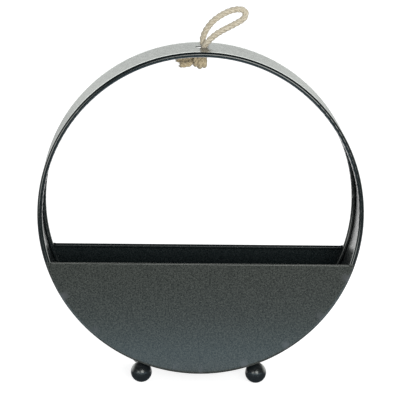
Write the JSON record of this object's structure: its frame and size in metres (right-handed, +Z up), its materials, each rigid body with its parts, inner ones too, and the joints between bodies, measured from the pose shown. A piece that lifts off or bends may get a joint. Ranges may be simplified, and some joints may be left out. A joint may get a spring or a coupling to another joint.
{
  "type": "hoop planter",
  "caption": "Round sheet-metal hoop planter, its lower third closed into a trough, on ball feet, with beaded edges and a knotted rope loop for hanging.",
  "frame": {"origin": "on the floor, under the middle of the hoop", "axes": "+Z up, the front panel faces -Y, +X to the right seen from the front"},
  "size_m": [0.305, 0.089, 0.3544],
  "materials": {
    "hoop_paint": "satin black paint with a fine grain",
    "foot_paint": "gloss black paint",
    "wire_steel": "bare drawn wire",
    "jute_rope": "three-strand twisted jute, fuzzy"
  },
  "bodies": {
    "planter": {"hoop_band": "hoop_paint", "front_panel": "hoop_paint", "rear_panel": "hoop_paint", "front_panel_tacks": "hoop_paint", "rear_panel_tacks": "hoop_paint", "foot_weld_front_left": "hoop_paint", "foot_weld_front_right": "hoop_paint", "foot_weld_rear_left": "hoop_paint", "foot_weld_rear_right": "hoop_paint", "foot_front_left": "foot_paint", "foot_front_right": "foot_paint", "foot_rear_left": "foot_paint", "foot_rear_right": "foot_paint", "front_rim_wire": "wire_steel", "rear_rim_wire": "wire_steel", "rear_edge_wire": "wire_steel", "hanger_strands": "jute_rope", "hanger_knot": "jute_rope", "hanger_tails": "jute_rope"},
    "hanger": {"hanger_loop": "jute_rope"}
  },
  "joints": [
    {"name": "hanger_swing", "type": "hinge", "parent": "planter", "child": "hanger", "pos_m": [0.0022, 0, 0.318], "axis": [0, 1, 0], "range_deg": [-85, 40], "deforming": ["hanger_strands"]}
  ]
}
